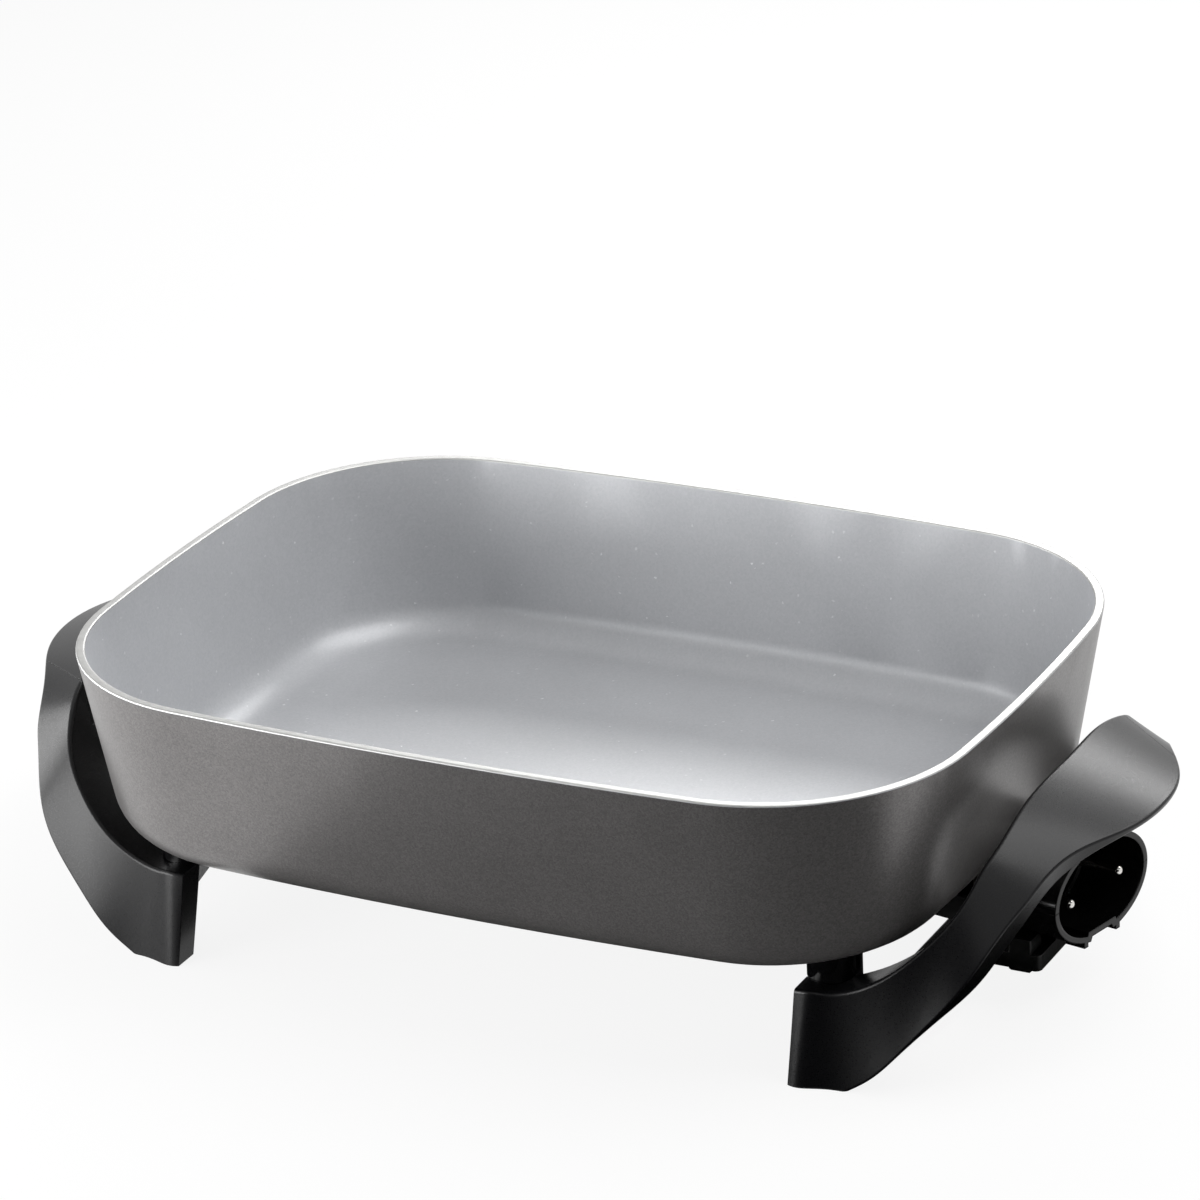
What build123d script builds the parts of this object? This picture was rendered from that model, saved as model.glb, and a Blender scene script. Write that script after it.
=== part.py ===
from build123d import *
import math
import os

# Electric skillet. Millimetres, +Z up. The origin is on the table under the pan's centre,
# +X runs along the long side towards the socket, and -Y is the long front side.

# ---- Driving dimensions: pan -------------------------------------------------------------
pan_length = 406.0  # rim, over the bows of the two short sides
pan_width = 304.8  # rim, over the bows of the two long sides
rim_height = 135.0  # rim above the table
long_side_bow = 9.4  # how far each long side stands out of its chord
short_side_bow = 9.2
corner_radius = 87.5  # outside radius of the rim's corners
wall_draft = 10.0  # degrees
wall_thickness = 4.0
floor_thickness = 4.5
underside_height = 51.3  # flat outside bottom of the pan above the table
heel_radius = 22.5  # outside radius between wall and floor
rim_edge_radius = 0.8

# ---- Driving dimensions: legs and handle arms --------------------------------------------
leg_inset = 61.0  # leg's inner end, in from the rim's short side
leg_face_inset = 35.4  # leg's face at the table, in from the rim's long side
leg_lean = 7.0  # how far the leg's face leans back over its height
leg_height = 38.8
foot_length = 26.5  # from the leg's inner end to where its underside turns up
foot_rise = 36.0  # degrees by which the rounding turns up from the table
foot_radius = 14.0  # rounding where the foot turns up
leg_top_depth = 14.2  # depth of the moulding at the leg's top
leg_foot_depth = 12.2
web_depth = 7.0  # how much deeper the moulding is where it leaves the leg
arm_depth = 13.5  # depth at the grip's inner edge
blade_edge = 3.2  # depth along the blade's outer edge
upper_edge_radius = 1.8
outer_edge_radius = 1.0
inner_edge_radius = 1.5
crown_reach = 56.3  # outer edge of the grip, out from the rim's short side
crown_height = 94.3  # outer edge of the grip above the table
grip_width = 43.3  # level distance between the grip's two edges
grip_tilt = 13.2  # how much higher the grip's inner edge is
blade_end_height = 54.2  # blade's end, beyond the crown, measured along Y
blade_end_skew = 34.8  # degrees the blade's end is turned from square
lap_length = 30.0  # how far the other arm's tongue reaches under the blade
lap_skin = 4.0  # thickness of the blade over the tongue
lap_gap = 0.2
tongue_share = 0.62  # share of the blade's width that the tongue takes up
shelf_thickness = 4.5
shelf_inset = 3.0  # from the leg's inner end
shelf_length = 15.0
shelf_depth = 16.0
shelf_corner = 5.0

# ---- Driving dimensions: standoffs and screws --------------------------------------------
standoff_x_inset = 52.5  # standoff's axis, in from the rim's short side
standoff_y_inset = 60.4
standoff_diameter = 20.0
pan_boss_diameter = 9.0
pan_boss_drop = 9.0
peg_diameter = 4.0
peg_offset = (7.2, 10.0)  # from the standoff's axis, outwards and towards the middle
fit_gap = 0.15  # clearance between a bore and what sits in it
thread_gap = 0.05
leg_screw_diameter = 5.0
leg_screw_length = 18.0
small_screw_diameter = 3.5
washer_thickness = 1.0
washer_diameter = 10.0
head_ratio = 1.9  # screw head's diameter over its shank's
head_height_ratio = 0.62

# ---- Driving dimensions: element, terminals and socket -----------------------------------
terminal_height = 46.5  # axis of the pins and of the sensor tube
pin_reach = 23.5  # middle of the pins' tips, out from the rim's short side
socket_offset = 5.5  # middle of the pins' tips, along +Y
socket_yaw = 10.0  # degrees the socket is turned towards the front
pin_spacing = 37.4
pin_diameter = 4.8
pin_shank_diameter = 4.2  # behind the shoulder that stands off the back plate
pin_shoulder_gap = 1.0
pin_length = 46.0
seal_diameter = 9.0
seal_length = 11.0
sheath_diameter = 6.6
sheath_bend = 20.0
lead_length = 58.0  # straight run of the element behind the pins
element_length = 256.0
element_width = 175.0
rib_width = 13.0
rib_drop = 8.7
sensor_tube_diameter = 9.6
sensor_tube_wall = 0.7
sensor_tube_length = 72.0
sensor_tube_recess = 20.0  # tube's mouth, in from the pins' tips
sensor_boss_length = 28.0
sensor_boss_wall = 1.4
guard_width = 64.6
guard_height = 45.1
guard_rise = 1.0  # guard's axis above the pins
guard_proud = 2.0  # guard's mouth, out from the pins' tips
guard_length = 35.0
mouth_skew = 3.7  # degrees the mouth is turned further to the front than the pins
guard_wall = 2.6
guard_ledge = 1.6
mouth_edge_radius = 0.9
key_width = 19.5
key_height = 5.4
key_flare = 3.0
key_lip = 0.8
plate_thickness = 3.0
plate_recess = 30.0  # back plate's rear face, in from the pins' tips
cover_length = 29.0
cover_recess = 34.0  # cover's front face, in from the pins' tips
cover_width = 88.0
cover_drop = 11.7
cover_wall = 1.8
cover_screw_spacing = 60.0

# ---- Driving dimensions: cross brackets --------------------------------------------------
bracket_width = 21.0
bracket_bottom = 15.0
bracket_top = 26.5
bracket_wall = 3.0
bracket_roof = 4.5
bracket_inset = 29.0  # bracket's middle line, in from the rim's short side
bracket_straight = 100.0
bracket_bend = 30.0
bracket_screw_x_inset = 35.0
bracket_screw_y_inset = 73.0
guard_screw_spacing = 36.0
guard_screw_recess = 25.0
saddle_reach = 10.0  # saddle's outer edge, out from the rim's short side
saddle_front = -25.0  # saddle's two ends along Y
saddle_rear = 40.0
saddle_bottom = 19.5
saddle_corner = 3.0
cheek_width = 10.0  # block on the saddle's front end that rises to the guard
cheek_length = 12.5
cheek_top = 33.0
cheek_lip = 1.5
cheek_setback = 4.0  # in from the saddle's outer edge

# ---- Worked out from the driving dimensions ----------------------------------------------
half_length = pan_length / 2
half_width = pan_width / 2
draft_slope = math.tan(math.radians(wall_draft))
leg_x = half_length - leg_inset
leg_y = half_width - leg_face_inset
leg_inner_y = leg_y - leg_lean - leg_top_depth
shelf_bottom = leg_height - shelf_thickness
crown_x = half_length + crown_reach
standoff_x = half_length - standoff_x_inset
standoff_y = half_width - standoff_y_inset
bracket_screw_x = half_length - bracket_screw_x_inset
bracket_screw_y = half_width - bracket_screw_y_inset
bracket_seat = bracket_top - bracket_roof
floor_top = underside_height + floor_thickness
pin_shoulder = plate_recess - plate_thickness - pin_shoulder_gap
sensor_boss_radius = sensor_tube_diameter / 2 + fit_gap + sensor_boss_wall
yaw = math.radians(socket_yaw)
socket = Plane(
    origin=(half_length + pin_reach, socket_offset, terminal_height),
    x_dir=(math.sin(yaw), math.cos(yaw), 0),
    z_dir=(math.cos(yaw), -math.sin(yaw), 0),
)
os.makedirs("parts", exist_ok=True)
corners = [(1, -1), (1, 1), (-1, 1), (-1, -1)]
half_turn = Rot(0, 0, 180)
standing = (Align.CENTER, Align.CENTER, Align.MIN)


def save(shape, node):
    """Writes one node's STEP file."""
    export_step(shape, os.path.join("parts", node + ".step"))


def upright(radius, bottom, top, x, y):
    """A cylinder between two heights above the table."""
    return Pos(x, y, bottom) * Cylinder(radius, top - bottom, align=standing)


def along_socket(radius, start, end, across=0.0, up=0.0):
    """A cylinder along the socket's axis; 0 is the plane of the pins' tips."""
    return socket * Pos(across, up, start) * Cylinder(radius, end - start, align=standing)


def socket_point(back, across):
    """A level point behind the pins' tips, in the socket's own directions."""
    point = socket.origin - socket.z_dir * back + socket.x_dir * across
    return point.X, point.Y


def pan_head_screw(diameter, seat, tip, x, y):
    """A screw driven from below: its head's flat is at seat and its shank ends at tip."""
    head_radius = diameter * head_ratio / 2
    head_height = diameter * head_height_ratio
    head = upright(head_radius, seat - head_height, seat, x, y)
    head = fillet(head.edges().sort_by(Axis.Z)[0], head_height * 0.6)
    slot = Pos(x, y, seat - head_height) * Box(head_radius * 1.3, diameter * 0.2, head_height)
    cross = Pos(x, y, seat - head_height) * Box(diameter * 0.2, head_radius * 1.3, head_height)
    shank = upright(diameter / 2 - thread_gap, seat - head_height * 0.2, tip, x, y)
    return head - slot - cross + shank


# ---- Pan: die-cast bowl with bowed sides, bosses and element rib -------------------------


def pan_outline(inset, height):
    """The rim's outline moved inwards: four bowed sides joined by tangent corner arcs."""
    chord_x = half_length - short_side_bow
    chord_y = half_width - long_side_bow
    long_radius = (chord_x**2 + long_side_bow**2) / (2 * long_side_bow)
    short_radius = (chord_y**2 + short_side_bow**2) / (2 * short_side_bow)
    long_centre = Vector(0, half_width - long_radius)
    short_centre = Vector(half_length - short_radius, 0)
    # A corner arc's centre is where the arc touches both bowed sides from within.
    reach_long = long_radius - corner_radius
    reach_short = short_radius - corner_radius
    between = short_centre - long_centre
    span = between.length
    along = (reach_long**2 - reach_short**2 + span**2) / (2 * span)
    aside = math.sqrt(reach_long**2 - along**2)
    unit = between / span
    corner = long_centre + unit * along + Vector(unit.Y, -unit.X) * aside
    long_angle = math.degrees(math.atan2(corner.Y - long_centre.Y, corner.X - long_centre.X))
    short_angle = math.degrees(math.atan2(corner.Y - short_centre.Y, corner.X - short_centre.X))
    turn = long_angle - short_angle
    arcs = [
        CenterArc((short_centre.X, 0), short_radius - inset, -short_angle, 2 * short_angle),
        CenterArc((corner.X, corner.Y), corner_radius - inset, short_angle, turn),
        CenterArc((0, long_centre.Y), long_radius - inset, long_angle, 180 - 2 * long_angle),
        CenterArc((-corner.X, corner.Y), corner_radius - inset, 180 - long_angle, turn),
        CenterArc((-short_centre.X, 0), short_radius - inset, 180 - short_angle, 2 * short_angle),
        CenterArc((-corner.X, -corner.Y), corner_radius - inset, 180 + short_angle, turn),
        CenterArc((0, -long_centre.Y), long_radius - inset, 180 + long_angle, 180 - 2 * long_angle),
        CenterArc((corner.X, -corner.Y), corner_radius - inset, 360 - long_angle, turn),
    ]
    return Pos(0, 0, height) * make_face(arcs)


def bowl(inset, bottom, top, radius):
    """A drafted solid between two heights with a rounded heel."""
    low = pan_outline(inset + draft_slope * (rim_height - bottom), bottom)
    solid = extrude(low, top - bottom, taper=-wall_draft)
    return fillet(solid.edges().group_by(Axis.Z)[0], radius)


def element_path():
    """The loop under the floor, from the front cold end round to the rear one."""
    knee = pin_length + lead_length
    half_loop = element_length / 2
    half_across = element_width / 2
    points = [
        (*socket_point(pin_length, -pin_spacing / 2), terminal_height),
        (*socket_point(knee, -pin_spacing / 2), terminal_height),
        (half_loop, -half_across, terminal_height),
        (-half_loop, -half_across, terminal_height),
        (-half_loop, half_across, terminal_height),
        (half_loop, half_across, terminal_height),
        (*socket_point(knee, pin_spacing / 2), terminal_height),
        (*socket_point(pin_length, pin_spacing / 2), terminal_height),
    ]
    return FilletPolyline(*points, radius=sheath_bend)


def element_tube(radius):
    """A round bar along the element's loop."""
    path = element_path()
    return sweep(Plane(origin=path @ 0, z_dir=path % 0) * Circle(radius), path=path)


path = element_path()
rib_bottom = underside_height - rib_drop - terminal_height
rib_start = Plane(origin=path @ 0, x_dir=(0, 0, 1), z_dir=path % 0)
rib_outline = Rectangle(rib_drop + 1, rib_width, align=(Align.MIN, Align.CENTER))
element_rib = sweep(rib_start * Pos(rib_bottom, 0) * rib_outline, path=path)
cover_zone = socket * Pos(0, 0, -cover_recess - cover_length - 0.5)
cover_zone *= Box(cover_width, 2 * rim_height, cover_length * 2, align=standing)

pan = bowl(0, underside_height, rim_height, heel_radius)
pan -= bowl(wall_thickness, floor_top, rim_height + 5, heel_radius - wall_thickness)
pan += element_rib - cover_zone
boss_end = -sensor_tube_recess - sensor_tube_length
pan += along_socket(sensor_boss_radius, boss_end - 3, boss_end + sensor_boss_length)
for sx, sy in corners:
    pan += upright(standoff_diameter / 2 - 1, underside_height, floor_top - 1, sx * standoff_x, sy * standoff_y)
    boss_bottom = underside_height - pan_boss_drop
    pan += upright(pan_boss_diameter / 2, boss_bottom, underside_height + 1, sx * standoff_x, sy * standoff_y)
    pan -= upright(leg_screw_diameter / 2, boss_bottom - 1, underside_height + 1, sx * standoff_x, sy * standoff_y)
cover_boss_drop = cover_drop / 2
cover_screw_back = cover_recess + cover_length - 8
for side in (-1, 1):
    x, y = socket_point(cover_screw_back, side * cover_screw_spacing / 2)
    pan += upright(4, underside_height - cover_boss_drop, floor_top - 1, x, y)
    pan -= upright(small_screw_diameter / 2, underside_height - cover_boss_drop - 1, underside_height, x, y)
pan -= element_tube(sheath_diameter / 2 + fit_gap)
pan -= along_socket(sensor_tube_diameter / 2 + fit_gap, boss_end, 0)
rim_edges = pan.edges().group_by(Axis.Z)[-1]
pan = fillet(rim_edges, rim_edge_radius)
save(pan, "pan")

# ---- Heating element: sheathed rod, its pins, seals and the sensor tube -------------------

save(element_tube(sheath_diameter / 2), "heating_element")
for side, name in ((-1, "front"), (1, "rear")):
    across = side * pin_spacing / 2
    pin = Pos(across, 0, -pin_shoulder) * Cylinder(pin_diameter / 2, pin_shoulder, align=standing)
    pin = fillet(pin.edges().sort_by(Axis.Z)[-1], pin_diameter / 2 - 0.3)
    pin += Pos(across, 0, -pin_length) * Cylinder(pin_shank_diameter / 2, pin_length - 5, align=standing)
    save(socket * pin, "terminal_pin_" + name)
    seal = along_socket(seal_diameter / 2, -pin_length, seal_length - pin_length, across)
    seal -= along_socket(pin_shank_diameter / 2 + thread_gap, -pin_length, 0, across)
    save(seal, "terminal_seal_" + name)
tube = along_socket(sensor_tube_diameter / 2, boss_end, -sensor_tube_recess)
tube -= along_socket(sensor_tube_diameter / 2 - sensor_tube_wall, boss_end + 1, 0)
save(tube, "sensor_tube")

# ---- Handle arms: one twisted ribbon per side, cut where the blade ends -------------------

# Stations of the ribbon from the foot to the crown: the upper edge and the lower edge as
# shares of their run in X, Y and Z, how far the depth has turned from level to the grip's
# underside, and how much of the deeper web the station has.
stations = [
    ((0.0, 1.0, 0.0), (-0.03, 1.025, -0.14), 0.0, 0.0),
    ((0.17, 0.995, 0.005), (0.13, 1.01, -0.06), 0.01, 0.4),
    ((0.36, 0.98, 0.06), (0.27, 0.99, 0.05), 0.03, 0.9),
    ((0.57, 0.955, 0.2), (0.385, 0.98, 0.19), 0.1, 1.2),
    ((0.715, 0.91, 0.345), (0.495, 0.95, 0.35), 0.2, 1.6),
    ((0.83, 0.85, 0.495), (0.605, 0.895, 0.525), 0.33, 1.9),
    ((0.905, 0.77, 0.665), (0.69, 0.78, 0.71), 0.5, 1.8),
    ((0.955, 0.655, 0.82), (0.775, 0.615, 0.885), 0.72, 1.2),
    ((0.975, 0.455, 0.93), (0.88, 0.39, 0.985), 0.9, 0.4),
    ((0.985, 0.23, 0.985), (0.97, 0.2, 0.995), 1.0, 0.0),
    ((1.0, 0.0, 1.0), (1.0, 0.0, 1.0), 1.0, 0.0),
]
grip_normal = Vector(-grip_tilt, 0, -grip_width).normalized()


def ribbon_frame(station, side):
    """Edge points of one station, its depth direction and both depths; side is -1 for the front."""
    upper_share, lower_share, turn, web = station
    upper = Vector(
        leg_x + upper_share[0] * (crown_x - grip_width - leg_x),
        side * upper_share[1] * (leg_y - leg_lean),
        leg_height + upper_share[2] * (crown_height + grip_tilt - leg_height),
    )
    lower = Vector(
        leg_x + lower_share[0] * (crown_x - leg_x),
        side * lower_share[1] * leg_y,
        lower_share[2] * crown_height,
    )
    depth = Vector(0, -side, 0) * (1 - turn) + grip_normal * turn
    upper_depth = leg_top_depth * (1 - turn) + arm_depth * turn + web_depth * web
    lower_depth = leg_foot_depth * (1 - turn) + blade_edge * turn + web_depth * web
    return upper, lower, depth.normalized(), upper_depth, lower_depth


def slab(corner_points, radii):
    """A flat face through four corners in space, each with its own rounding."""
    first, second, third, fourth = corner_points
    plane = Plane(origin=first, x_dir=second - first, z_dir=(second - first).cross(third - second))
    local = [plane.to_local_coords(point) for point in corner_points]
    face = make_face(Polyline(*[(point.X, point.Y) for point in local], close=True))
    for point, radius in zip(local, radii):
        near = face.vertices().sort_by_distance((point.X, point.Y, 0))[0]
        face = fillet(near, radius)
    return plane * face


def ribbon_section(station, side):
    """The ribbon's outline at one station."""
    upper, lower, depth, upper_depth, lower_depth = ribbon_frame(station, side)
    inner_radius = min(inner_edge_radius, 0.45 * lower_depth)
    points = [upper, lower, lower + depth * lower_depth, upper + depth * upper_depth]
    return slab(points, [upper_edge_radius, outer_edge_radius, inner_radius, upper_edge_radius])


def tongue_section(station, gap, reach):
    """The outline of the tongue under the blade, grown by a gap and by a reach downwards."""
    upper, lower, depth, upper_depth, lower_depth = ribbon_frame(station, 1)
    across = (lower - upper).normalized()
    width = (lower - upper).length
    near = upper + across * (3 - gap)
    far = upper + across * (width * tongue_share + gap)
    far_depth = upper_depth + (lower_depth - upper_depth) * tongue_share + reach
    skin = lap_skin - gap
    points = [near + depth * skin, far + depth * skin, far + depth * far_depth, near + depth * (upper_depth + reach)]
    return slab(points, [0.8, 0.8, 0.8, 0.8])


front_sections = [ribbon_section(station, -1) for station in stations]
rear_sections = [ribbon_section(station, 1) for station in reversed(stations[:-1])]
ribbon = loft(front_sections + rear_sections)

# The feet are cut flat on the table and square at their inner ends, and turn up in an arc.
foot_end = leg_x + foot_length
foot_reach = foot_radius * math.tan(math.radians(foot_rise / 2))
upturn = (foot_end + foot_reach * math.cos(math.radians(foot_rise)), foot_reach * math.sin(math.radians(foot_rise)))
heel = make_face(Polyline((foot_end - foot_reach, 0), (foot_end, 0), upturn, close=True))
heel -= Pos(foot_end - foot_reach, foot_radius) * Circle(foot_radius)
ribbon -= extrude(Plane.XZ * heel, pan_width, both=True)
ribbon -= Pos(crown_x, 0, 0) * Box(pan_length, 2 * pan_width, leg_height, align=(Align.CENTER, Align.CENTER, Align.MAX))
ribbon -= Pos(leg_x, 0, 0) * Box(leg_inset, 2 * pan_width, 4 * leg_height, align=(Align.MAX, Align.CENTER, Align.CENTER))


def behind(offset):
    """Everything on the rear side of the blade's end, moved along its normal by an offset."""
    turn = math.radians(blade_end_skew)
    normal = Vector(math.sin(turn), math.cos(turn), 0)
    middle = Vector(crown_x - 0.7 * grip_width, blade_end_height, 0)
    skewed = Plane(origin=middle + normal * offset, z_dir=normal)
    skewed *= Box(2 * pan_length, 2 * pan_length, 2 * pan_length, align=standing)
    rear_side = Box(pan_length, pan_width, 2 * pan_width, align=(Align.MAX, Align.MIN, Align.CENTER))
    return skewed + Pos(crown_x - grip_width - 2 * lap_skin, 0, 0) * rear_side


def tongue_run(gap, reach):
    """The other arm's tongue under the blade, or with a gap and a reach its pocket."""
    sections = [tongue_section(station, gap, reach) for station in reversed(stations[6:])]
    return loft(sections, ruled=True) & behind(-lap_length - gap)


blade_arm = ribbon - behind(0) - tongue_run(lap_gap, 8)
band_arm = (ribbon & behind(lap_gap)) + tongue_run(0, -0.4)

# Two screws from below hold the tongue in the blade: their Y, seat and tip above the crown's edge.
lap_screw_x = crown_x - 35
lap_screws = [(46.0, -1.8, 4.0), (30.0, 0.7, 6.7)]
arm_joint_screws = []
for y, seat_rise, tip_rise in lap_screws:
    seat = crown_height + seat_rise
    tip = crown_height + tip_rise
    blade_arm -= upright(small_screw_diameter / 2, seat, tip + 0.5, lap_screw_x, y)
    band_arm -= upright(small_screw_diameter / 2 + 2 * fit_gap, seat - 1, tip, lap_screw_x, y)
    band_arm -= upright(small_screw_diameter * head_ratio / 2 + 0.4, seat - 15, seat, lap_screw_x, y)
    screw = pan_head_screw(small_screw_diameter, seat, tip, lap_screw_x, y)
    arm_joint_screws += [screw, half_turn * screw]


def add_shelf(arm, side):
    """The shelf on a leg's inner face: standoff seat, locating peg, screw holes and boss."""
    shelf_root = leg_top_depth / 2
    shelf_x = leg_x + shelf_inset + shelf_length / 2
    shelf = Pos(shelf_x, side * (leg_inner_y - shelf_depth / 2 + shelf_root / 2), shelf_bottom)
    shelf *= Box(shelf_length, shelf_depth + shelf_root, shelf_thickness, align=standing)
    inner_edges = shelf.edges().filter_by(Axis.Z).sort_by(lambda edge: abs(edge.center().Y))[:2]
    arm += fillet(inner_edges, shelf_corner)
    peg_x = standoff_x + peg_offset[0]
    arm += upright(peg_diameter / 2, shelf_bottom, underside_height - fit_gap, peg_x, side * (standoff_y - peg_offset[1]))
    boss_radius = small_screw_diameter / 2 + 2.6
    arm += upright(boss_radius, bracket_top, shelf_bottom, bracket_screw_x, side * bracket_screw_y)
    boss_web = Box(2 * boss_radius, leg_inner_y - bracket_screw_y, shelf_bottom - bracket_top, align=standing)
    arm += Pos(bracket_screw_x, side * (leg_inner_y + bracket_screw_y) / 2, bracket_top) * boss_web
    arm -= upright(small_screw_diameter / 2, bracket_top - 1, shelf_bottom - 1, bracket_screw_x, side * bracket_screw_y)
    arm -= upright(washer_diameter / 2 + 0.8, -1, shelf_bottom, standoff_x, side * standoff_y)
    seat_radius = standoff_diameter / 2 + fit_gap
    arm -= upright(seat_radius, leg_height, underside_height, standoff_x, side * standoff_y)
    arm -= upright(leg_screw_diameter / 2 + 2 * fit_gap, 0, leg_height + 1, standoff_x, side * standoff_y)
    return arm


blade_arm = add_shelf(blade_arm, -1)
band_arm = add_shelf(band_arm, 1)
save(blade_arm, "right_front_arm")
save(band_arm, "right_rear_arm")
save(half_turn * blade_arm, "left_rear_arm")
save(half_turn * band_arm, "left_front_arm")
save(Compound(arm_joint_screws), "arm_joint_screws")

# ---- Standoffs with the leg screws and washers that clamp legs to pan ---------------------

leg_screws = []
leg_washers = []
corner_names = ["right_front", "right_rear", "left_rear", "left_front"]
screw_seat = shelf_bottom - washer_thickness
for (sx, sy), name in zip(corners, corner_names):
    x = sx * standoff_x
    y = sy * standoff_y
    standoff = upright(standoff_diameter / 2, leg_height, underside_height, x, y)
    standoff = chamfer(standoff.edges().group_by(Axis.Z)[0], 0.6)
    standoff -= upright(pan_boss_diameter / 2 + fit_gap, leg_height - 1, underside_height + 1, x, y)
    save(standoff, name + "_standoff")
    washer = upright(washer_diameter / 2, screw_seat, shelf_bottom, x, y)
    washer -= upright(leg_screw_diameter / 2 + fit_gap, screw_seat - 1, shelf_bottom + 1, x, y)
    leg_washers.append(washer)
    leg_screws.append(pan_head_screw(leg_screw_diameter, screw_seat, screw_seat + leg_screw_length, x, y))
save(Compound(leg_screws), "leg_screws")
save(Compound(leg_washers), "leg_washers")

# ---- Cross brackets: downward channels that tie the two legs of a side --------------------


def bracket_run(width, bottom, top, end_radius):
    """A band along the bracket's path between two heights, with round ends."""
    middle_x = half_length - bracket_inset
    run = FilletPolyline(
        (bracket_screw_x, -bracket_screw_y, bottom),
        (middle_x, -bracket_straight / 2, bottom),
        (middle_x, bracket_straight / 2, bottom),
        (bracket_screw_x, bracket_screw_y, bottom),
        radius=bracket_bend,
    )
    start = Plane(origin=run @ 0, x_dir=(0, 0, 1), z_dir=run % 0)
    solid = sweep(start * Rectangle(top - bottom, width, align=(Align.MIN, Align.CENTER)), path=run)
    for side in (-1, 1):
        solid += upright(end_radius, bottom, top, bracket_screw_x, side * bracket_screw_y)
    return solid


bracket = bracket_run(bracket_width, bracket_bottom, bracket_top, bracket_width / 2)
bracket = fillet(bracket.faces().sort_by(Axis.Z)[-1].edges(), 1.5)
hollow = bracket_width / 2 - bracket_wall
bracket -= bracket_run(2 * hollow, bracket_bottom - 1, bracket_seat, hollow)
for side in (-1, 1):
    y = side * bracket_screw_y
    bracket -= upright(small_screw_diameter / 2 + 2 * fit_gap, bracket_bottom, bracket_top + 1, bracket_screw_x, y)
left_bracket = half_turn * bracket

# The right bracket carries the socket guard on a saddle with a raised cheek at its front end.
saddle_start = half_length - bracket_inset + bracket_width / 2 - bracket_wall
saddle_outer = half_length + saddle_reach
low_corner = (Align.MIN, Align.MIN, Align.MIN)
saddle = Box(saddle_outer - saddle_start, saddle_rear - saddle_front, bracket_top - saddle_bottom, align=low_corner)
saddle = fillet(saddle.edges().filter_by(Axis.Z).sort_by(Axis.X)[-2:], saddle_corner)
inner_length = saddle_rear - saddle_front - 2 * bracket_wall
tray = Box(saddle_outer - saddle_start - 2 * bracket_wall, inner_length, bracket_seat - saddle_bottom, align=low_corner)
saddle -= Pos(bracket_wall, bracket_wall, 0) * tray
cheek_base = saddle_bottom - cheek_lip
cheek = Box(cheek_width, cheek_length, cheek_top - cheek_base, align=low_corner)
cheek = fillet(cheek.edges().filter_by(Axis.Z), 1.0)
cheek = chamfer(cheek.edges().group_by(Axis.Z)[0], 0.8)
bracket += Pos(saddle_start, saddle_front, saddle_bottom) * saddle
bracket += Pos(saddle_outer - cheek_width - cheek_setback, saddle_front, cheek_base) * cheek
guard_screw_places = [socket_point(guard_screw_recess, side * guard_screw_spacing / 2) for side in (-1, 1)]
guard_body = Pos(0, guard_rise) * Ellipse(guard_width / 2 + fit_gap, guard_height / 2 + fit_gap)
bracket -= socket * Pos(0, 0, -guard_length - 10) * extrude(guard_body, guard_length + 30)
for x, y in guard_screw_places:
    bracket -= upright(small_screw_diameter / 2 + 2 * fit_gap, saddle_bottom, bracket_top + 1, x, y)
    bracket -= upright(small_screw_diameter * head_ratio / 2 + 0.4, 0, bracket_seat, x, y)
save(bracket, "right_cross_bracket")
save(left_bracket, "left_cross_bracket")

bracket_screws = []
for sx, sy in corners:
    x = sx * bracket_screw_x
    y = sy * bracket_screw_y
    bracket_screws.append(pan_head_screw(small_screw_diameter, bracket_seat, shelf_bottom - 1.5, x, y))
save(Compound(bracket_screws), "bracket_screws")

# ---- Socket guard: an oval sleeve in two halves round the terminal pins -------------------

half_oval = guard_width / 2
half_tall = guard_height / 2
mouth_run = half_oval * math.tan(math.radians(mouth_skew))
mouth = guard_proud + mouth_run
back = guard_proud - guard_length
mouth_cut = Box(2 * pan_width, 2 * pan_width, guard_length, align=standing)
mouth_cut = socket * Pos(0, 0, guard_proud) * Rot(0, -mouth_skew, 0) * mouth_cut
oval_bottom = guard_rise - half_tall


def oval(inset):
    """The guard's oval outline moved inwards, in the socket's own plane."""
    return Pos(0, guard_rise) * Ellipse(half_oval - inset, half_tall - inset)


def key_outline(grow):
    """The keying channel's outline, open downwards, grown by a wall thickness."""
    foot = key_width / 2 + grow
    top = oval_bottom + key_height - guard_wall + grow
    head = foot - key_flare
    return make_face(
        Polyline((-foot, oval_bottom - 3), (foot, oval_bottom - 3), (head, top), (-head, top), close=True)
    )


def along(outline, start, end):
    """A socket outline run along the socket's axis."""
    return socket * Pos(0, 0, start) * extrude(outline, end - start)


upper_half = Pos(0, guard_rise) * Rectangle(200, 100, align=(Align.CENTER, Align.MIN))
lower_half = Pos(0, guard_rise) * Rectangle(200, 100, align=(Align.CENTER, Align.MAX))
shell = oval(0) - oval(guard_wall)
ledge = oval(guard_wall - 0.5) - oval(guard_wall + guard_ledge)
keyed = (shell & lower_half) + (key_outline(guard_wall) & oval(0)) - key_outline(0)
keyed_ledge = (ledge & lower_half) - key_outline(guard_wall - 0.5)
upper = along(shell & upper_half, back, mouth)
lower = along(keyed, back, mouth)
for side in (-1, 1):
    lip = Pos(side * (key_width + guard_wall) / 2, oval_bottom - key_lip)
    lip *= Rectangle(guard_wall, key_lip + guard_wall, align=(Align.CENTER, Align.MIN))
    lower += along(lip, mouth - 12, mouth)
for x, y in guard_screw_places:
    boss = upright(4, bracket_top, terminal_height - 5, x, y)
    lower += boss - along(oval(guard_wall - 0.3), back, mouth)
plate_back = -plate_recess
plate_front = plate_thickness - plate_recess
for start, end in ((back, plate_back), (plate_front, plate_front + 2)):
    upper += along(ledge & upper_half, start, end)
    lower += along(keyed_ledge, start, end)
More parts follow.
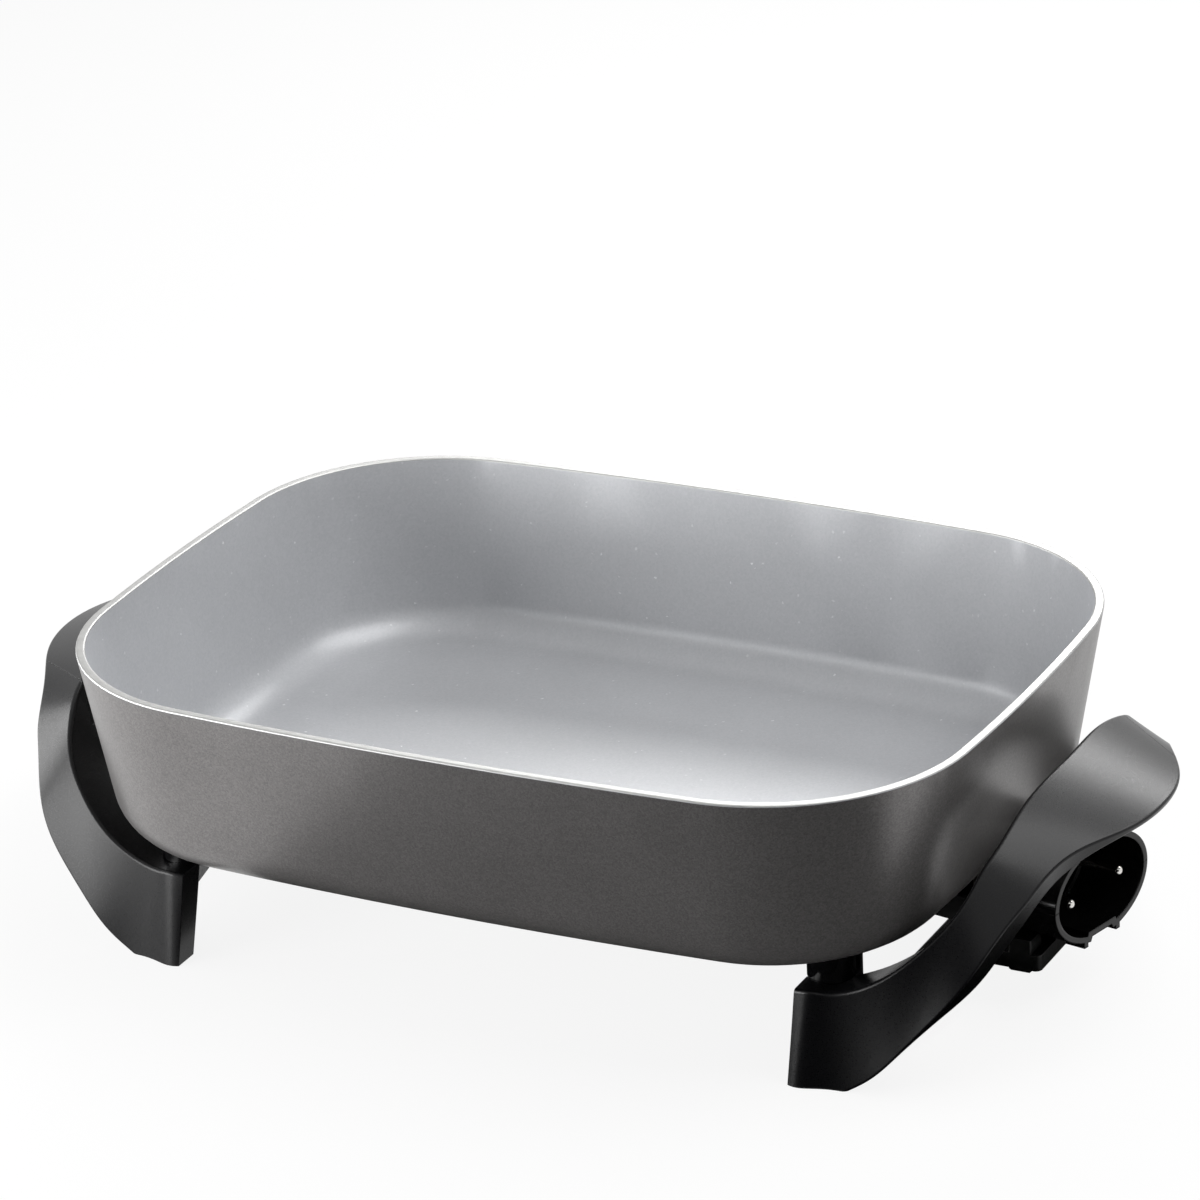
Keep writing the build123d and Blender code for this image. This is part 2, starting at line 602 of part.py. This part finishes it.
for x, y in guard_screw_places:
    lower -= upright(small_screw_diameter / 2, bracket_top - 1, bracket_top + 5, x, y)
save(upper - mouth_cut, "socket_guard_upper")
save(lower - mouth_cut, "socket_guard_lower")

plate = oval(guard_wall + fit_gap) - key_outline(guard_wall + fit_gap)
plate -= Circle(sensor_tube_diameter / 2 + fit_gap)
for side in (-1, 1):
    plate -= Pos(side * pin_spacing / 2, 0) * Circle(pin_shank_diameter / 2 + fit_gap)
save(along(plate, plate_back, plate_front), "socket_back_plate")

guard_screws = [pan_head_screw(small_screw_diameter, bracket_seat, bracket_top + 4.5, x, y) for x, y in guard_screw_places]
save(Compound(guard_screws), "guard_screws")

# ---- Terminal cover: a tray under the pan's edge round the element's cold ends ------------

cover_bottom = underside_height - cover_drop - terminal_height
cover_back = -cover_recess - cover_length
tray = Pos(0, cover_bottom) * Rectangle(cover_width, cover_drop, align=(Align.CENTER, Align.MIN))
cover = along(tray, cover_back, -cover_recess)
cover = fillet(cover.edges().filter_by(Axis.Z), 3)
inside = Pos(0, cover_bottom + cover_wall) * Rectangle(cover_width - 2 * cover_wall, cover_drop, align=(Align.CENTER, Align.MIN))
cover -= along(inside, cover_back + cover_wall, -cover_recess - cover_wall)
openings = [(0, sensor_boss_radius, sensor_tube_diameter / 2)]
openings += [(side * pin_spacing / 2, sheath_diameter / 2, seal_diameter / 2) for side in (-1, 1)]
for across, rear_radius, front_radius in openings:
    for radius, start in ((rear_radius + 0.4, cover_back - 1), (front_radius + 0.4, -cover_recess - cover_wall - 1)):
        notch = Pos(across, 0) * (Circle(radius) + Rectangle(2 * radius, 20, align=(Align.CENTER, Align.MIN)))
        cover -= along(notch, start, start + cover_wall + 2)
cover_screws = []
cover_seat = underside_height - cover_drop + 2.6
post_top = underside_height - cover_boss_drop
for side in (-1, 1):
    x, y = socket_point(cover_screw_back, side * cover_screw_spacing / 2)
    cover += upright(4.6, underside_height - cover_drop, post_top, x, y)
    cover -= upright(small_screw_diameter / 2 + fit_gap, 0, post_top + 1, x, y)
    cover -= upright(small_screw_diameter * head_ratio / 2 + 0.3, 0, cover_seat, x, y)
    cover_screws.append(pan_head_screw(small_screw_diameter, cover_seat, underside_height - 0.5, x, y))
save(cover, "terminal_cover")
save(Compound(cover_screws), "cover_screws")
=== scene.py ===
import math

import bpy
from mathutils import Matrix, Vector


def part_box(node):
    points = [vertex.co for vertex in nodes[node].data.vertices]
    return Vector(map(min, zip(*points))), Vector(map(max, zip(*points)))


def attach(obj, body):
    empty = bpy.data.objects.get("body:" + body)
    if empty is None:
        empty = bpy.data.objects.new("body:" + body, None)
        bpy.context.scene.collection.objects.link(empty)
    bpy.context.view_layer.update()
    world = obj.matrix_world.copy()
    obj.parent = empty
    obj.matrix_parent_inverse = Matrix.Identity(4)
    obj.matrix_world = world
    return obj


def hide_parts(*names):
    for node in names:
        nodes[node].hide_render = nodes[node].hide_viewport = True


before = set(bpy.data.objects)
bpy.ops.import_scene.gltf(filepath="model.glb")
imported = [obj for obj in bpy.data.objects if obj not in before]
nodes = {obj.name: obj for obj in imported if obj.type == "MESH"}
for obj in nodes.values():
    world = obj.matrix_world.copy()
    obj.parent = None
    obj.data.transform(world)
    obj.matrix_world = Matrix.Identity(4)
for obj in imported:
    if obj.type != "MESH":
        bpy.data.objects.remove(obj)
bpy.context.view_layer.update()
scene = bpy.context.scene
scene.view_settings.view_transform = "Standard"

# ------------------------------------------------------------------------------------------
# Camera. It looks down on the skillet from its front right corner, and is tilted a little
# to one side. Its lengths are in millimetres, and all others in this script in metres.
# ------------------------------------------------------------------------------------------
camera_azimuth = math.radians(27.546)
camera_elevation = math.radians(23.033)
camera_roll = math.radians(-2.626)
camera_distance = 2413.1
camera_side = -1.5
camera_rise = 131.4
camera_lens = 168.2
film_width = 36
nearest_view = 100

backward = Vector((
    math.sin(camera_azimuth) * math.cos(camera_elevation),
    -math.cos(camera_azimuth) * math.cos(camera_elevation),
    math.sin(camera_elevation),
))
level_right = Vector((math.cos(camera_azimuth), math.sin(camera_azimuth), 0))
level_up = backward.cross(level_right)
right = math.cos(camera_roll) * level_right + math.sin(camera_roll) * level_up
up = math.cos(camera_roll) * level_up - math.sin(camera_roll) * level_right
stand = (right * camera_side + up * camera_rise + backward * camera_distance) / 1000
turn = Matrix((right, up, backward)).transposed().to_4x4()
camera_data = bpy.data.cameras.new("camera")
camera_data.lens = camera_lens
camera_data.sensor_width = film_width
camera_data.clip_start = nearest_view / 1000
camera = bpy.data.objects.new("camera", camera_data)
camera.matrix_world = Matrix.Translation(stand) @ turn
scene.collection.objects.link(camera)
scene.camera = camera

# ------------------------------------------------------------------------------------------
# Stage: a sheet of white paper on the table, a white room and four soft boxes. A black flag
# in front on the right gives the dark plastic and enamel something dark to reflect.
# ------------------------------------------------------------------------------------------
room_light = 0.14  # strength of the room as a light
paper_glow = 0.88  # share of plain white in the paper, where it is seen directly
paper_size = 12


def linear(hex_colour):
    """An sRGB hex colour as linear light, with alpha."""
    channels = []
    for i in (1, 3, 5):
        value = int(hex_colour[i:i + 2], 16) / 255
        channels.append(value / 12.92 if value <= 0.04045 else ((value + 0.055) / 1.055) ** 2.4)
    return (*channels, 1.0)


def add(tree, kind, settings=None, links=None):
    """Adds one node; settings are properties or socket values, links are socket to output."""
    node = tree.nodes.new(kind)
    for key, value in (settings or {}).items():
        if isinstance(key, str) and hasattr(node, key):
            setattr(node, key, value)
        else:
            node.inputs[key].default_value = value
    for key, output in (links or {}).items():
        tree.links.new(output, node.inputs[key])
    return node


def seen_directly(tree):
    """1 where the camera, a reflection or a refraction looks at the background."""
    rays = add(tree, "ShaderNodeLightPath")
    either = add(tree, "ShaderNodeMath", {"operation": "MAXIMUM"},
                 {0: rays.outputs["Is Camera Ray"], 1: rays.outputs["Is Glossy Ray"]})
    return add(tree, "ShaderNodeMath", {"operation": "MAXIMUM"},
               {0: either.outputs[0], 1: rays.outputs["Is Transmission Ray"]})


bpy.ops.object.select_all(action="DESELECT")
bpy.ops.mesh.primitive_plane_add(size=paper_size, location=(0, 0, 0))
floor = bpy.context.object
floor.name = "paper_floor"
white_paper = bpy.data.materials.new("white_paper")
white_paper.use_nodes = True
tree = white_paper.node_tree
tree.nodes.clear()
paper = add(tree, "ShaderNodeBsdfDiffuse", {"Color": linear("#f4f4f4")})
glow = add(tree, "ShaderNodeEmission", {"Color": linear("#ffffff"), "Strength": 1.0})
share = add(tree, "ShaderNodeMath", {"operation": "MULTIPLY", 1: paper_glow},
            {0: seen_directly(tree).outputs[0]})
mixed = add(tree, "ShaderNodeMixShader",
            links={0: share.outputs[0], 1: paper.outputs[0], 2: glow.outputs[0]})
add(tree, "ShaderNodeOutputMaterial", links={"Surface": mixed.outputs[0]})
floor.data.materials.append(white_paper)

world = bpy.data.worlds.new("studio")
world.use_nodes = True
scene.world = world
tree = world.node_tree
tree.nodes.clear()
seen = seen_directly(tree)
room = add(tree, "ShaderNodeBackground", {"Color": linear("#ffffff"), "Strength": room_light})
white = add(tree, "ShaderNodeBackground", {"Color": linear("#ffffff"), "Strength": 1.0})
mixed = add(tree, "ShaderNodeMixShader",
            links={0: seen.outputs[0], 1: room.outputs[0], 2: white.outputs[0]})
add(tree, "ShaderNodeOutputWorld", links={"Surface": mixed.outputs[0]})

for name, position, aim, width, height, power in (
    ("top_box", (0.75, 0.3, 1.4), (0, 0, 0.1), 1.4, 1.3, 22),
    ("back_box", (-0.2, 1.35, 0.95), (0, 0, 0.1), 1.1, 0.4, 12),
    ("left_box", (-0.62, -0.72, 0.21), (-0.12, -0.1, 0.08), 0.55, 0.4, 7),
    ("side_box", (-0.9, -0.2, 0.18), (-0.15, -0.05, 0.08), 0.5, 0.3, 4.5),
):
    box = bpy.data.lights.new(name, "AREA")
    box.shape = "RECTANGLE"
    box.size = width
    box.size_y = height
    box.energy = power
    light = bpy.data.objects.new(name, box)
    light.location = position
    towards = Vector(aim) - Vector(position)
    light.rotation_euler = towards.to_track_quat("-Z", "Y").to_euler()
    light.visible_camera = False
    scene.collection.objects.link(light)

# The flag stands on a black sheet on the table, and both show in reflections only. Under the pan
# the sheet is painted shade: it stands in for the pan's shadow, which the glowing paper does not
# show in reflections. In front of the pan it is a dark floor for the dark plastic to reflect.
# Between its third and fourth post the flag has only the lid, a panel that leans over the right
# side from above.
flag_feet = [(-0.13, -0.62), (0.45, -0.72), (1.1, -0.35), (1.2, 0.4)]
flag_height = 0.5
flag_lid = [(0.95, -0.45, 1.25), (1.0, 0.2, 1.25)]
# Back edge of the black sheet, which runs under the pan and is painted shade there.
painted_shade_sheet_edge = [(-0.13, 0.1), (0.25, 0.1), (0.27, -0.08), (0.5, -0.15)]
shade_sheet_height = 0.0005
flag_corners = [(x, y, shade_sheet_height) for x, y in flag_feet + painted_shade_sheet_edge]
flag_corners += [(x, y, flag_height) for x, y in flag_feet] + flag_lid
flag_panels = [(0, 1, 9, 8), (1, 2, 10, 9), (4, 0, 6, 5), (0, 1, 7, 6), (1, 2, 7), (10, 11, 13, 12)]
mesh = bpy.data.meshes.new("black_flag")
mesh.from_pydata(flag_corners, [], flag_panels)
flag = bpy.data.objects.new("black_flag", mesh)
scene.collection.objects.link(flag)
# Black for the flag and for the sheet, whose part under the pan is painted shade.
flag_and_painted_shade = bpy.data.materials.new("flag_and_painted_shade")
flag_and_painted_shade.use_nodes = True
tree = flag_and_painted_shade.node_tree
tree.nodes.clear()
flag_and_shade_surface = add(tree, "ShaderNodeBsdfDiffuse", {"Color": linear("#050505")})
add(tree, "ShaderNodeOutputMaterial", links={"Surface": flag_and_shade_surface.outputs[0]})
flag.data.materials.append(flag_and_painted_shade)
flag.visible_camera = False
flag.visible_shadow = False
flag.visible_diffuse = False

# ------------------------------------------------------------------------------------------
# Pan: one pressure die casting in aluminium, with its bosses and the rib that holds the
# heating element. It is sprayed dark outside and ceramic-coated inside, and then the rim is
# machined bare.
# ------------------------------------------------------------------------------------------
rim_band = 0.0007  # depth of the machined band below the rim's flat
inside_level = 0.0515  # faces that look up from above this level are the pan's inside
inside_slope = 0.01  # how far a face has to look up for that
merge_distance = 0.000001
sharp_edge = math.radians(35)  # edges that turn by more than this stay sharp
relief = 0.0001  # height of the fine relief in the finishes, before its strength


def start_material(name):
    """An empty node material with its shader."""
    material = bpy.data.materials.new(name)
    material.use_nodes = True
    tree = material.node_tree
    tree.nodes.clear()
    shader = add(tree, "ShaderNodeBsdfPrincipled")
    add(tree, "ShaderNodeOutputMaterial", links={"Surface": shader.outputs[0]})
    return material, tree, shader


# Metallic silicone enamel, sprayed: aluminium flakes of about 0.1 mm in a dark brown-grey
# binder, drawn at 0.6 mm so that the grain shows, with a low broad shine. The spray is a
# little uneven over 35 mm, and its orange peel has a grain of 1.2 mm.
flake_size = 0.0006
enamel_cloud = 0.035
enamel_peel = 0.0012
sprayed_enamel, tree, shader = start_material("sprayed_metallic_enamel")
place = add(tree, "ShaderNodeTexCoord").outputs["Object"]
flakes = add(tree, "ShaderNodeTexVoronoi", {"Scale": 1 / flake_size}, {"Vector": place})
flake_tone = add(tree, "ShaderNodeValToRGB", links={"Fac": flakes.outputs["Color"]})
flake_tone.color_ramp.elements[0].color = linear("#676565")
flake_tone.color_ramp.elements[1].color = linear("#807e7d")
cloud = add(tree, "ShaderNodeTexNoise", {"Scale": 1 / enamel_cloud, "Detail": 3.0},
            {"Vector": place})
cloud_tone = add(tree, "ShaderNodeMapRange",
                 {"From Min": 0.3, "From Max": 0.7, "To Min": 0.96, "To Max": 1.04},
                 {"Value": cloud.outputs[0]})
tinted = add(tree, "ShaderNodeMix",
             {"data_type": "RGBA", "blend_type": "MULTIPLY", "Factor": 1.0},
             {6: flake_tone.outputs[0], 7: cloud_tone.outputs[0]})
orange_peel = add(tree, "ShaderNodeTexNoise", {"Scale": 1 / enamel_peel, "Detail": 2.0},
                  {"Vector": place})
peel = add(tree, "ShaderNodeBump", {"Strength": 0.12, "Distance": relief},
           {"Height": orange_peel.outputs[0]})
gloss = add(tree, "ShaderNodeMapRange", {"To Min": 0.31, "To Max": 0.37},
            {"Value": orange_peel.outputs[0]})
tree.links.new(tinted.outputs[2], shader.inputs["Base Color"])
tree.links.new(gloss.outputs[0], shader.inputs["Roughness"])
tree.links.new(peel.outputs[0], shader.inputs["Normal"])
shader.inputs["Metallic"].default_value = 0.6

# Sol-gel ceramic lining, sprayed and baked: light grey with pale mica specks and a satin
# face. The specks are about 0.2 mm and are drawn at 0.9 mm so that they show. The grey is
# a little uneven over 50 mm, and the satin has a grain of 1.5 mm.
speck_size = 0.0009
ceramic_cloud = 0.05
ceramic_satin = 0.0015
mica_start = 0.94  # only the palest cells are mica
ceramic_lining, tree, shader = start_material("sol_gel_ceramic")
place = add(tree, "ShaderNodeTexCoord").outputs["Object"]
specks = add(tree, "ShaderNodeTexVoronoi", {"Scale": 1 / speck_size}, {"Vector": place})
speck_tone = add(tree, "ShaderNodeValToRGB", links={"Fac": specks.outputs["Color"]})
speck_tone.color_ramp.elements.new(mica_start)
for stop, tone in enumerate(("#b0b2b5", "#b9babd", "#e4e5e6")):
    speck_tone.color_ramp.elements[stop].color = linear(tone)
baked = add(tree, "ShaderNodeTexNoise", {"Scale": 1 / ceramic_cloud, "Detail": 4.0},
            {"Vector": place})
baked_tone = add(tree, "ShaderNodeMapRange",
                 {"From Min": 0.3, "From Max": 0.7, "To Min": 0.97, "To Max": 1.03},
                 {"Value": baked.outputs[0]})
tinted = add(tree, "ShaderNodeMix",
             {"data_type": "RGBA", "blend_type": "MULTIPLY", "Factor": 1.0},
             {6: speck_tone.outputs[0], 7: baked_tone.outputs[0]})
satin = add(tree, "ShaderNodeTexNoise", {"Scale": 1 / ceramic_satin, "Detail": 2.0},
            {"Vector": place})
peel = add(tree, "ShaderNodeBump", {"Strength": 0.15, "Distance": relief},
           {"Height": satin.outputs[0]})
gloss = add(tree, "ShaderNodeMapRange", {"To Min": 0.3, "To Max": 0.4},
            {"Value": satin.outputs[0]})
tree.links.new(tinted.outputs[2], shader.inputs["Base Color"])
tree.links.new(gloss.outputs[0], shader.inputs["Roughness"])
tree.links.new(peel.outputs[0], shader.inputs["Normal"])
shader.inputs["Metallic"].default_value = 0.1
shader.inputs["IOR"].default_value = 1.5

# Bare die-cast aluminium, faced with a cutter: bright. The cutter's marks are too fine to
# show on so narrow a rim, and are drawn as soft blotches of 4 mm and less.
rim_blotch = 0.004
machined_rim, tree, shader = start_material("machined_aluminium")
place = add(tree, "ShaderNodeTexCoord").outputs["Object"]
blotches = add(tree, "ShaderNodeTexNoise", {"Scale": 1 / rim_blotch, "Detail": 6.0},
               {"Vector": place})
rim_tone = add(tree, "ShaderNodeValToRGB", links={"Fac": blotches.outputs[0]})
rim_tone.color_ramp.elements[0].color = linear("#9c9c9b")
rim_tone.color_ramp.elements[1].color = linear("#b4b4b2")
gloss = add(tree, "ShaderNodeMapRange", {"To Min": 0.4, "To Max": 0.5},
            {"Value": blotches.outputs[0]})
tree.links.new(rim_tone.outputs[0], shader.inputs["Base Color"])
tree.links.new(gloss.outputs[0], shader.inputs["Roughness"])
shader.inputs["Metallic"].default_value = 1.0

pan = nodes["pan"].copy()
pan.data = nodes["pan"].data.copy()
pan.name = "coated_pan"
scene.collection.objects.link(pan)
bpy.ops.object.select_all(action="DESELECT")
bpy.context.view_layer.objects.active = pan
pan.select_set(True)
bpy.ops.object.mode_set(mode="EDIT")
bpy.ops.mesh.select_all(action="SELECT")
bpy.ops.mesh.remove_doubles(threshold=merge_distance)
bpy.ops.object.mode_set(mode="OBJECT")
pan.data.materials.clear()
for material in (sprayed_enamel, ceramic_lining, machined_rim):
    pan.data.materials.append(material)
outside, inside, rim = range(3)
rim_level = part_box("pan")[1][2] - rim_band
for face in pan.data.polygons:
    if min(pan.data.vertices[i].co.z for i in face.vertices) > rim_level:
        face.material_index = rim
    elif face.normal.z > inside_slope and face.center.z > inside_level:
        face.material_index = inside
    else:
        face.material_index = outside
bpy.ops.object.shade_smooth_by_angle(angle=sharp_edge)
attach(pan, "root")
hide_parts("pan")

# ------------------------------------------------------------------------------------------
# Heating element: a steel sheath round its coil, bent to a loop and cast into the rib. Its
# cold ends carry ceramic seals and nickel-plated pins, and a closed tube lies between them.
# ------------------------------------------------------------------------------------------


def surface(name, dark, light, grain, rough, bump, metallic=0.0, shine=0.5, edge=0.0,
            stretch=(1, 1, 1)):
    """A finish with one grain: its two tones, its size, two roughnesses and its relief.

    shine is the specular level, edge the radius that sharp edges appear to have, and
    stretch the scale of the grain along each axis.
    """
    material, tree, shader = start_material(name)
    place = add(tree, "ShaderNodeTexCoord").outputs["Object"]
    run = add(tree, "ShaderNodeMapping", {"Scale": stretch}, {"Vector": place})
    grains = add(tree, "ShaderNodeTexNoise", {"Scale": 1 / grain, "Detail": 4.0},
                 {"Vector": run.outputs[0]})
    spread = add(tree, "ShaderNodeMapRange", {"From Min": 0.3, "From Max": 0.7},
                 {"Value": grains.outputs[0]})
    tone = add(tree, "ShaderNodeValToRGB", links={"Fac": spread.outputs[0]})
    tone.color_ramp.elements[0].color = linear(dark)
    tone.color_ramp.elements[1].color = linear(light)
    gloss = add(tree, "ShaderNodeMapRange", {"To Min": rough[0], "To Max": rough[1]},
                {"Value": spread.outputs[0]})
    sand = add(tree, "ShaderNodeBump", {"Strength": bump, "Distance": relief},
               {"Height": grains.outputs[0]})
    if edge:
        rounding = add(tree, "ShaderNodeBevel", {"samples": 6, "Radius": edge})
        tree.links.new(rounding.outputs[0], sand.inputs["Normal"])
    tree.links.new(tone.outputs[0], shader.inputs["Base Color"])
    tree.links.new(gloss.outputs[0], shader.inputs["Roughness"])
    tree.links.new(sand.outputs[0], shader.inputs["Normal"])
    shader.inputs["Metallic"].default_value = metallic
    shader.inputs["Specular IOR Level"].default_value = shine
    return material


def dress(material, *names):
    """Gives CAD nodes their finish."""
    for name in names:
        nodes[name].data.materials.clear()
        nodes[name].data.materials.append(material)


# Oxidised nickel steel: brown-grey with blotches of 4 mm.
sheath = surface("oxidised_nickel_steel", "#4d4743", "#7a726c", grain=0.004,
                 rough=(0.35, 0.6), bump=0.2, metallic=1.0)
dress(sheath, "heating_element")
# Nickel plate: bright and almost smooth, with a faint grain of 0.6 mm.
nickel = surface("nickel_plate", "#c9c7c2", "#e4e3df", grain=0.0006,
                 rough=(0.12, 0.2), bump=0.03, metallic=1.0)
dress(nickel, "terminal_pin_front", "terminal_pin_rear")
# Steatite: warm white and slightly porous, with grains of about 0.4 mm.
steatite = surface("steatite", "#d9d2c4", "#ece7dc", grain=0.0004,
                   rough=(0.55, 0.75), bump=0.3)
dress(steatite, "terminal_seal_front", "terminal_seal_rear")
# Drawn stainless tube: satin, with marks 0.5 mm wide and 2.5 mm long, roughly along it.
stainless = surface("drawn_stainless", "#8d8d8c", "#b5b4b1", grain=0.0005,
                    rough=(0.25, 0.4), bump=0.1, metallic=1.0, stretch=(0.2, 1, 1))
dress(stainless, "sensor_tube")

# ------------------------------------------------------------------------------------------
# Handle arms: two mouldings on each side in satin black phenolic, a blade whose end sweeps
# over the grip and a band whose tongue is screwed below it. Their lower ends are the legs.
# ------------------------------------------------------------------------------------------

# Compression-moulded phenolic: deep black, a satin shine, and a faint sand of 0.5 mm.
phenolic = surface("moulded_phenolic", "#08080a", "#0d0d0e", grain=0.0005,
                   rough=(0.26, 0.34), bump=0.06, shine=0.25, edge=0.0005)
dress(phenolic, "right_front_arm", "right_rear_arm", "left_rear_arm", "left_front_arm")
# Zinc-plated steel: pale and slightly blue, a little dull, with a grain of 0.8 mm.
zinc_plate = surface("zinc_plate", "#9da1a6", "#c4c7ca", grain=0.0008,
                     rough=(0.28, 0.45), bump=0.08, metallic=1.0)
dress(zinc_plate, "arm_joint_screws")

# ------------------------------------------------------------------------------------------
# Standoffs: glossy black phenolic spools that keep the hot pan off the legs. Each is clamped
# by a screw and a washer from below.
# ------------------------------------------------------------------------------------------

# Polished phenolic: black and glossy, with a barely visible cloud of 2 mm.
glossy_phenolic = surface("glossy_phenolic", "#060607", "#0b0b0c", grain=0.002,
                          rough=(0.08, 0.16), bump=0.02, shine=0.4, edge=0.0004)
dress(glossy_phenolic, "right_front_standoff", "right_rear_standoff",
      "left_rear_standoff", "left_front_standoff")
dress(zinc_plate, "leg_screws", "leg_washers")

# ------------------------------------------------------------------------------------------
# Cross brackets: black channels, moulded in glass-filled polyester, that tie the two legs of
# a side. The right one has a saddle that carries the socket guard.
# ------------------------------------------------------------------------------------------

# Glass-filled polyester: dull black, with fibre clouds of about 1.5 mm.
filled_polyester = surface("glass_filled_polyester", "#0a0a0a", "#121211", grain=0.0015,
                           rough=(0.3, 0.45), bump=0.12, shine=0.3, edge=0.0007)
dress(filled_polyester, "right_cross_bracket", "left_cross_bracket")
dress(zinc_plate, "bracket_screws")

# ------------------------------------------------------------------------------------------
# Socket guard: an oval sleeve in two glossy black halves round the pins, with a keying
# channel below. An insulator board closes its back.
# ------------------------------------------------------------------------------------------

# Polyester from a polished mould: black and glossy, with a barely visible cloud of 3 mm.
glossy_polyester = surface("glossy_polyester", "#060606", "#0a0a0a", grain=0.003,
                           rough=(0.12, 0.2), bump=0.02, shine=0.3, edge=0.0008)
dress(glossy_polyester, "socket_guard_upper", "socket_guard_lower")
# Laminated board: dark brown-black and dull, with a mottle of 0.8 mm.
laminate = surface("laminated_board", "#0d0b0a", "#171412", grain=0.0008,
                   rough=(0.4, 0.6), bump=0.2)
dress(laminate, "socket_back_plate")
dress(zinc_plate, "guard_screws")

# ------------------------------------------------------------------------------------------
# Terminal cover: a shallow black tray under the pan's right edge that shields the cold ends.
# It is moulded in mineral-filled nylon and held by two screws from below.
# ------------------------------------------------------------------------------------------

# Filled nylon: dull black, with a grain of 1 mm.
filled_nylon = surface("filled_nylon", "#0b0b0c", "#141415", grain=0.001,
                       rough=(0.4, 0.55), bump=0.12, shine=0.3, edge=0.0005)
dress(filled_nylon, "terminal_cover")
dress(zinc_plate, "cover_screws")
